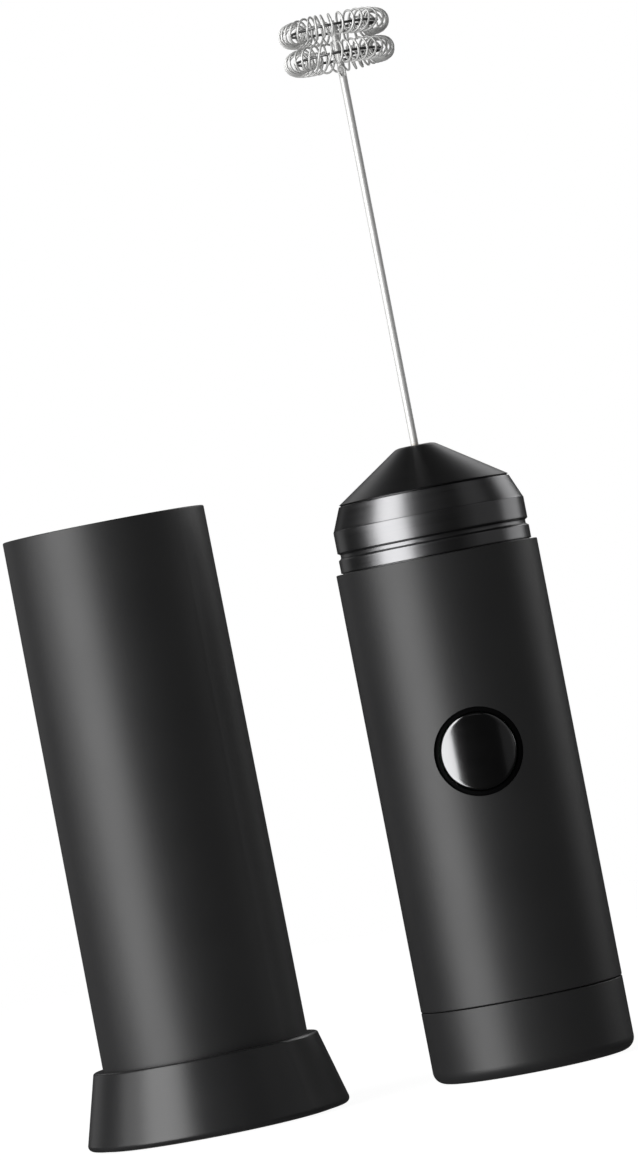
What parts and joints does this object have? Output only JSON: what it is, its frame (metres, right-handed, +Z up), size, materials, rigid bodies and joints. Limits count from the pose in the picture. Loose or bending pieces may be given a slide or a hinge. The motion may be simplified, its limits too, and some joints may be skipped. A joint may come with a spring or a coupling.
{
  "type": "milk frother",
  "caption": "Hand-held battery milk frother with a stacked coil whisk, standing on its end cap beside the matching cover tube on a flared base.",
  "frame": {"origin": "middle of the frother cap's underside, on the surface that both items stand on", "axes": "+Z up along the frother, -Y the front with the button, the cover stand 60 mm away towards -X"},
  "size_m": [0.1034, 0.0494, 0.1989],
  "materials": {
    "matte_black": "fine matte moulding, soft-touch black",
    "stand_black": "fine matte moulding, black",
    "soft_rubber": "matte rubber",
    "zinc_steel": "zinc-plated steel",
    "inner_plastic": "plain moulding",
    "nickel_strip": "nickel-plated",
    "battery_skin": "plain wrapped cell; aluminium's density gives an alkaline cell's mass",
    "red_insulation": "wire insulation",
    "black_insulation": "wire insulation",
    "green_board": "circuit board",
    "bezel_black": "satin black",
    "gloss_black": "high-gloss black",
    "dark_chrome": "turned and black-chromed, fine lathe marks",
    "bronze": "sintered bronze",
    "copper": null,
    "magnet_grey": "ferrite",
    "core_steel": "laminated steel",
    "polished_steel": "polished stainless wire"
  },
  "bodies": {
    "stand": {"cover_base": "stand_black", "foot_ring": "soft_rubber"},
    "cover": {"cover_tube": "matte_black"},
    "cap": {"cap_shell": "matte_black", "cap_seal": "soft_rubber", "pivot_screw": "zinc_steel"},
    "contact_carrier": {"contact_disc": "inner_plastic", "bridge_contact": "nickel_strip", "battery_springs": "nickel_strip"},
    "handle": {"handle_tube": "matte_black", "bayonet_ring": "inner_plastic", "chassis_front": "inner_plastic", "chassis_rear": "inner_plastic", "chassis_screws": "zinc_steel", "battery_1": "battery_skin", "battery_2": "battery_skin", "battery_partition": "inner_plastic", "battery_contacts": "nickel_strip", "lead_red": "red_insulation", "lead_black": "black_insulation", "switch_bracket": "inner_plastic", "switch_board": "green_board", "board_screws": "zinc_steel", "switch_body": "inner_plastic", "button_ring": "bezel_black", "button_spring": "polished_steel", "neck_collar": "dark_chrome", "nose_cone": "dark_chrome", "tip_bush": "bronze", "shaft_seal": "soft_rubber", "motor_can": "nickel_strip", "motor_end_bell": "inner_plastic", "motor_bushes": "bronze", "motor_magnets": "magnet_grey", "motor_brushes": "bronze", "motor_terminals": "nickel_strip", "motor_cradle": "inner_plastic", "motor_mount": "inner_plastic", "motor_screws": "zinc_steel"},
    "button": {"button_cap": "gloss_black", "switch_plunger": "inner_plastic"},
    "whisk": {"motor_shaft": "polished_steel", "rotor_core": "core_steel", "motor_windings": "copper", "commutator": "copper", "shaft_coupling": "inner_plastic", "whisk_shaft": "polished_steel", "whisk_frame": "polished_steel", "whisk_coil_lower": "polished_steel", "whisk_coil_upper": "polished_steel"}
  },
  "joints": [
    {"name": "cover_lift", "type": "slide", "parent": "stand", "child": "cover", "axis": [0, 0, 1], "range_m": [0, 0.1019]},
    {"name": "swing_over", "type": "hinge", "parent": "stand", "child": "cap", "pos_m": [-0.02985, 0, 0.16], "axis": [0, -1, 0], "range_deg": [0, 180]},
    {"name": "cap_turn", "type": "hinge", "parent": "cap", "child": "contact_carrier", "pos_m": [0, 0, 0.004], "axis": [0, 0, 1], "range_deg": [0, 30.05]},
    {"name": "handle_lift", "type": "slide", "parent": "contact_carrier", "child": "handle", "axis": [0, 0, 1], "range_m": [0, 0.007]},
    {"name": "button_press", "type": "slide", "parent": "handle", "child": "button", "axis": [0, 1, 0], "range_m": [0, 0.001], "stiffness_N_per_m": 400, "springref_m": -0.0005, "deforming": ["button_spring"]},
    {"name": "whisk_spin", "type": "hinge", "parent": "handle", "child": "whisk", "pos_m": [0, 0, 0.1], "axis": [0, 0, 1], "continuous": true}
  ],
  "couplings": [
    {"joint": "cap_turn", "follows": "handle_lift", "rad_per_m": 74.8}
  ]
}
